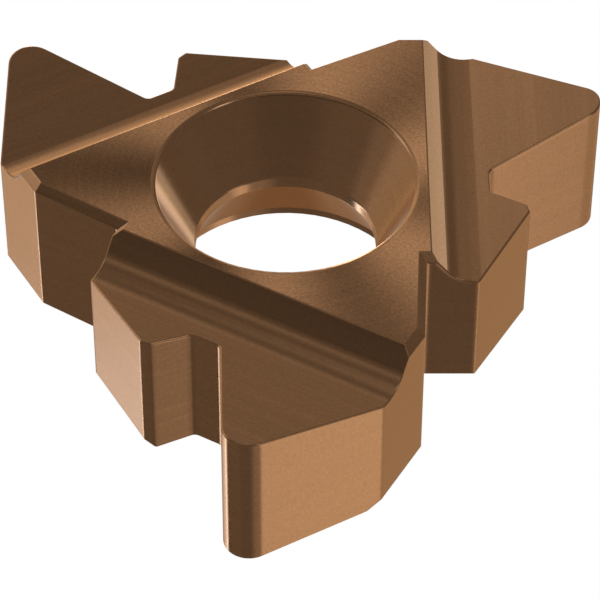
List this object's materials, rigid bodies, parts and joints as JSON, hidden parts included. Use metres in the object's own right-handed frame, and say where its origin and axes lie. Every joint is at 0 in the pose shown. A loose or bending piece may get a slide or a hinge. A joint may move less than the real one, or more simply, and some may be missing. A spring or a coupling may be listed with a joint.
{
  "type": "threading insert",
  "caption": "Indexable carbide threading insert: full-profile 60 degree teeth and smaller trailing teeth behind pressed chip grooves, round a countersunk screw hole.",
  "frame": {"origin": "on the axis of the screw hole, in the middle of its narrowest part", "axes": "+Z along the screw hole, from the seat towards the cutting side; the middle corner of the picture points along -Y"},
  "size_m": [0.0175, 0.0187, 0.0052],
  "materials": {
    "coated_carbide": "satin bronze-brown hard coating over ground and pressed cemented carbide"
  },
  "bodies": {
    "root": {"threading_insert": "coated_carbide"}
  },
  "joints": []
}
